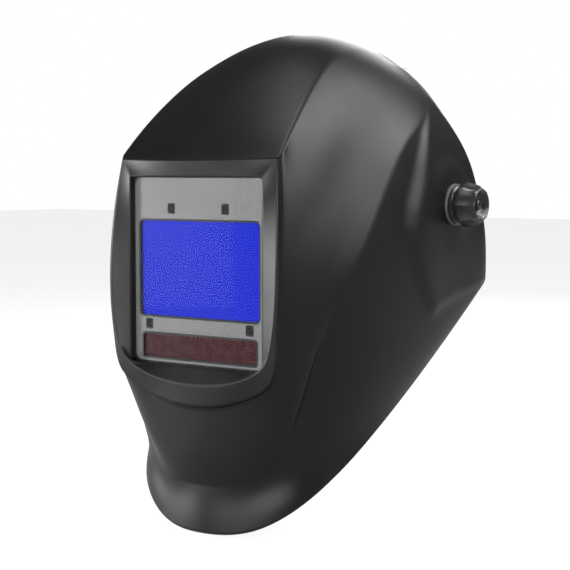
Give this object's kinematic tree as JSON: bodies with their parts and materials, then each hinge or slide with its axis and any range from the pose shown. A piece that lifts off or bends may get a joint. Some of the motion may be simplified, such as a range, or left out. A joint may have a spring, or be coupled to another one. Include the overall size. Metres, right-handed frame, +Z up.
{
  "type": "welding helmet",
  "caption": "Auto-darkening welding helmet: moulded hood with a large filter window, side pivots, and a headband with a ratchet at the nape.",
  "frame": {"origin": "middle of the wearer's head, on the line through the two pivots of the hood", "axes": "+Z up, the wearer looks along -Y, +X is the wearer's left"},
  "size_m": [0.2726, 0.2966, 0.351],
  "materials": {
    "shell_black": "satin moulded nylon, fine grain",
    "clear_lens": "clear polycarbonate sheet",
    "gasket_rubber": "matt foam rubber",
    "silver_plate": "silver, lightly grained",
    "filter_blue": "deep blue coated glass",
    "lcd_dark": "dark laminated liquid crystal",
    "solar_maroon": "dark maroon solar cell under glass",
    "sensor_black": "dark window",
    "board_green": "green solder mask",
    "housing_black": "fine spark-eroded texture",
    "lamp_red": "red lens",
    "dial_black": "satin, ribbed",
    "button_grey": "satin",
    "switch_grey": "satin",
    "cell_steel": "bright",
    "wire_steel": "drawn wire",
    "washer_nylon": "smooth nylon",
    "bushing_nylon": "natural nylon",
    "stud_steel": "zinc plated",
    "knob_black": "satin",
    "insert_brass": "turned",
    "carrier_black": "satin",
    "limiter_grey": "satin",
    "band_black": "satin polypropylene",
    "rivet_steel": "plated",
    "pad_fabric": "brushed knit over foam",
    "ratchet_black": "satin",
    "pinion_white": "acetal"
  },
  "bodies": {
    "headgear": {"headband_front": "band_black", "sweatband": "pad_fabric", "headband_rivets": "rivet_steel", "side_plate_left": "band_black", "side_plate_right": "band_black", "crown_strap_left": "band_black", "crown_strap_right": "band_black", "crown_strap_pin": "band_black", "rear_strap_left": "band_black", "rear_strap_right": "band_black"},
    "pivots": {"pivot_carrier_left": "carrier_black", "pivot_carrier_right": "carrier_black", "pivot_stud_left": "stud_steel", "pivot_stud_right": "stud_steel", "pivot_bushing_left": "bushing_nylon", "pivot_bushing_right": "bushing_nylon", "friction_washer_left": "washer_nylon", "friction_washer_right": "washer_nylon"},
    "hood": {"shell": "shell_black", "front_cover_lens": "clear_lens", "lens_gasket": "gasket_rubber", "cartridge_front_plate": "silver_plate", "filter_glass": "filter_blue", "lcd_stack": "lcd_dark", "rear_glass": "lcd_dark", "solar_cell": "solar_maroon", "arc_sensors": "sensor_black", "circuit_board": "board_green", "cartridge_rear_housing": "housing_black", "low_battery_lamp": "lamp_red", "inner_cover_lens": "clear_lens", "filter_holder": "housing_black", "outer_washer_left": "washer_nylon", "outer_washer_right": "washer_nylon"},
    "tilt_stop_left": {"tilt_limiter_left": "limiter_grey"},
    "tilt_stop_right": {"tilt_limiter_right": "limiter_grey"},
    "knob_left": {"outer_knob_left": "knob_black", "knob_insert_left": "insert_brass"},
    "knob_right": {"outer_knob_right": "knob_black", "knob_insert_right": "insert_brass"},
    "shade_dial": {"shade_dial": "dial_black"},
    "sensitivity_dial": {"sensitivity_dial": "dial_black"},
    "delay_dial": {"delay_dial": "dial_black"},
    "grind_switch": {"grind_switch": "switch_grey"},
    "test_button": {"test_button": "button_grey"},
    "battery_left": {"battery_tray_left": "housing_black", "coin_cell_left": "cell_steel"},
    "battery_right": {"battery_tray_right": "housing_black", "coin_cell_right": "cell_steel"},
    "retaining_loop": {"retaining_loop": "wire_steel"},
    "ratchet": {"ratchet_inner_cover": "ratchet_black", "ratchet_outer_cover": "ratchet_black", "ratchet_screws": "rivet_steel", "neck_pad": "pad_fabric", "pawl_spring": "wire_steel"},
    "ratchet_knob": {"ratchet_knob": "ratchet_black", "ratchet_pinion": "pinion_white"}
  },
  "joints": [
    {"name": "fore_aft_slide", "type": "slide", "parent": "headgear", "child": "pivots", "axis": [0, 1, 0], "range_m": [-0.006, 0.006]},
    {"name": "hood_flip", "type": "hinge", "parent": "pivots", "child": "hood", "pos_m": [0, 0, 0], "axis": [-1, 0, 0], "range_deg": [0, 75]},
    {"name": "tilt_stop_left_turn", "type": "hinge", "parent": "pivots", "child": "tilt_stop_left", "pos_m": [0.0983, 0, 0], "axis": [1, 0, 0], "range_deg": [-15, 15]},
    {"name": "tilt_stop_right_turn", "type": "hinge", "parent": "pivots", "child": "tilt_stop_right", "pos_m": [-0.0983, 0, 0], "axis": [1, 0, 0], "range_deg": [-15, 15]},
    {"name": "knob_left_turn", "type": "hinge", "parent": "pivots", "child": "knob_left", "pos_m": [0.126, 0, 0], "axis": [1, 0, 0], "continuous": true},
    {"name": "knob_right_turn", "type": "hinge", "parent": "pivots", "child": "knob_right", "pos_m": [-0.126, 0, 0], "axis": [-1, 0, 0], "continuous": true},
    {"name": "shade_dial_turn", "type": "hinge", "parent": "hood", "child": "shade_dial", "pos_m": [-0.014, -0.1365, -0.093], "axis": [0, 1, 0], "range_deg": [-135, 135]},
    {"name": "sensitivity_dial_turn", "type": "hinge", "parent": "hood", "child": "sensitivity_dial", "pos_m": [0.014, -0.1365, -0.088], "axis": [0, 1, 0], "range_deg": [-135, 135]},
    {"name": "delay_dial_turn", "type": "hinge", "parent": "hood", "child": "delay_dial", "pos_m": [0.014, -0.1365, -0.1005], "axis": [0, 1, 0], "range_deg": [-135, 135]},
    {"name": "grind_switch_slide", "type": "slide", "parent": "hood", "child": "grind_switch", "axis": [1, 0, 0], "range_m": [0, 0.0046]},
    {"name": "test_button_press", "type": "slide", "parent": "hood", "child": "test_button", "axis": [0, -1, 0], "range_m": [0, 0.0009], "stiffness_N_per_m": 200},
    {"name": "battery_left_slide", "type": "slide", "parent": "hood", "child": "battery_left", "axis": [1, 0, 0], "range_m": [0, 0.015]},
    {"name": "battery_right_slide", "type": "slide", "parent": "hood", "child": "battery_right", "axis": [-1, 0, 0], "range_m": [0, 0.015]},
    {"name": "retaining_loop_swing", "type": "hinge", "parent": "hood", "child": "retaining_loop", "pos_m": [0, -0.1411, -0.072], "axis": [-1, 0, 0], "range_deg": [0, 70]},
    {"name": "ratchet_slide", "type": "slide", "parent": "headgear", "child": "ratchet", "axis": [0, 0.9272, -0.3746], "range_m": [-0.012, 0.014], "deforming": ["rear_strap_left", "rear_strap_right"]},
    {"name": "ratchet_knob_turn", "type": "hinge", "parent": "ratchet", "child": "ratchet_knob", "pos_m": [0, 0.10663, -0.04308], "axis": [0, 0.9272, -0.3746], "range_deg": [-115, 134]}
  ],
  "couplings": [
    {"joint": "ratchet_knob_turn", "follows": "ratchet_slide", "rad_per_m": 166.67}
  ]
}
